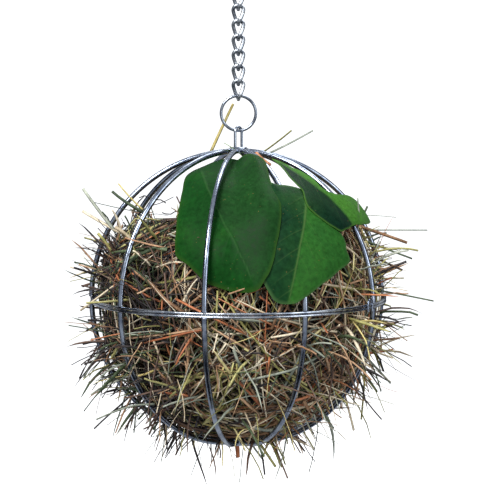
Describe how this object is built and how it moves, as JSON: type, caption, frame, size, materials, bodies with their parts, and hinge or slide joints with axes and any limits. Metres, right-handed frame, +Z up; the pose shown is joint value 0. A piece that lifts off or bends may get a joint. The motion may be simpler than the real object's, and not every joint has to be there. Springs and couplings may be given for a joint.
{
  "type": "hanging hay ball",
  "caption": "Hinged ball of plated wire on a short twisted-link chain with a snap hook, filled with hay and green leaves for small animals to pull out between its ribs.",
  "frame": {"origin": "the point inside the snap hook's top bow that rests on the bar it hangs from", "axes": "+Z up along the hanging chain, +X to the right along the bar, -Y towards the front, where the leaves show"},
  "size_m": [0.1851, 0.192, 0.3063],
  "materials": {
    "cage_wire": "polished",
    "chain_wire": "polished",
    "gate_sheet": "satin",
    "hay": "matte",
    "leaf_dark": "satin",
    "leaf_green": "satin",
    "leaf_light": "satin"
  },
  "bodies": {
    "snap_hook": {"hook_body": "chain_wire", "gate_rivet": "chain_wire"},
    "gate": {"hook_gate": "gate_sheet", "gate_spring": "gate_sheet"},
    "link_1": {"chain_link_1": "chain_wire"},
    "link_2": {"chain_link_2": "chain_wire"},
    "link_3": {"chain_link_3": "chain_wire"},
    "link_4": {"chain_link_4": "chain_wire"},
    "link_5": {"chain_link_5": "chain_wire"},
    "link_6": {"chain_link_6": "chain_wire"},
    "link_7": {"chain_link_7": "chain_wire"},
    "link_8": {"chain_link_8": "chain_wire"},
    "ring": {"hanging_ring": "chain_wire"},
    "upper_half": {"hanging_eye": "chain_wire", "top_crown": "cage_wire", "upper_rim": "cage_wire", "upper_rib_1": "cage_wire", "upper_rib_2": "cage_wire", "upper_rib_3": "cage_wire", "upper_rib_4": "cage_wire", "upper_rib_5": "cage_wire", "upper_rib_6": "cage_wire", "upper_rib_7": "cage_wire", "upper_rib_8": "cage_wire", "upper_rib_9": "cage_wire", "upper_rib_10": "cage_wire", "hinge_clip_1": "cage_wire", "hinge_clip_2": "cage_wire", "leaf_1": "leaf_dark", "leaf_2": "leaf_green", "leaf_3": "leaf_light", "stray_stalks_upper": "hay"},
    "lower_half": {"lower_rim": "cage_wire", "bottom_crown": "cage_wire", "catch_loop": "cage_wire", "lower_rib_1": "cage_wire", "lower_rib_2": "cage_wire", "lower_rib_3": "cage_wire", "lower_rib_4": "cage_wire", "lower_rib_5": "cage_wire", "lower_rib_6": "cage_wire", "lower_rib_7": "cage_wire", "lower_rib_8": "cage_wire", "lower_rib_9": "cage_wire", "lower_rib_10": "cage_wire", "hay_fill": "hay", "stray_stalks_lower": "hay"}
  },
  "joints": [
    {"name": "gate_swing", "type": "hinge", "parent": "snap_hook", "child": "gate", "pos_m": [0, -0.0055, -0.0205], "axis": [-1, 0, 0], "range_deg": [0, 26], "stiffness_Nm_per_rad": 0.02, "springref_deg": -17.19},
    {"name": "link_1_swing", "type": "hinge", "parent": "snap_hook", "child": "link_1", "pos_m": [0, 0, -0.0275], "axis": [0, 1, 0], "range_deg": [-20, 20]},
    {"name": "link_2_swing", "type": "hinge", "parent": "link_1", "child": "link_2", "pos_m": [0, 0, -0.0328], "axis": [1, 0, 0], "range_deg": [-20, 20]},
    {"name": "link_3_swing", "type": "hinge", "parent": "link_2", "child": "link_3", "pos_m": [0, 0, -0.0428], "axis": [0, 1, 0], "range_deg": [-20, 20]},
    {"name": "link_4_swing", "type": "hinge", "parent": "link_3", "child": "link_4", "pos_m": [0, 0, -0.0486], "axis": [1, 0, 0], "range_deg": [-20, 20]},
    {"name": "link_5_swing", "type": "hinge", "parent": "link_4", "child": "link_5", "pos_m": [0, 0, -0.0586], "axis": [0, 1, 0], "range_deg": [-20, 20]},
    {"name": "link_6_swing", "type": "hinge", "parent": "link_5", "child": "link_6", "pos_m": [0, 0, -0.0644], "axis": [1, 0, 0], "range_deg": [-20, 20]},
    {"name": "link_7_swing", "type": "hinge", "parent": "link_6", "child": "link_7", "pos_m": [0, 0, -0.0744], "axis": [0, 1, 0], "range_deg": [-20, 20]},
    {"name": "link_8_swing", "type": "hinge", "parent": "link_7", "child": "link_8", "pos_m": [0, 0, -0.0802], "axis": [1, 0, 0], "range_deg": [-20, 20]},
    {"name": "ring_swing", "type": "hinge", "parent": "link_8", "child": "ring", "pos_m": [0, 0, -0.0902], "axis": [0, 1, 0], "range_deg": [-25, 25]},
    {"name": "ball_swing", "type": "hinge", "parent": "ring", "child": "upper_half", "pos_m": [0, 0, -0.1068], "axis": [1, 0, 0], "range_deg": [-25, 25]},
    {"name": "lower_half_open", "type": "hinge", "parent": "upper_half", "child": "lower_half", "pos_m": [-0.06807, 0.0393, -0.19692], "axis": [0.5, 0.866, 0], "range_deg": [0, 85]}
  ]
}
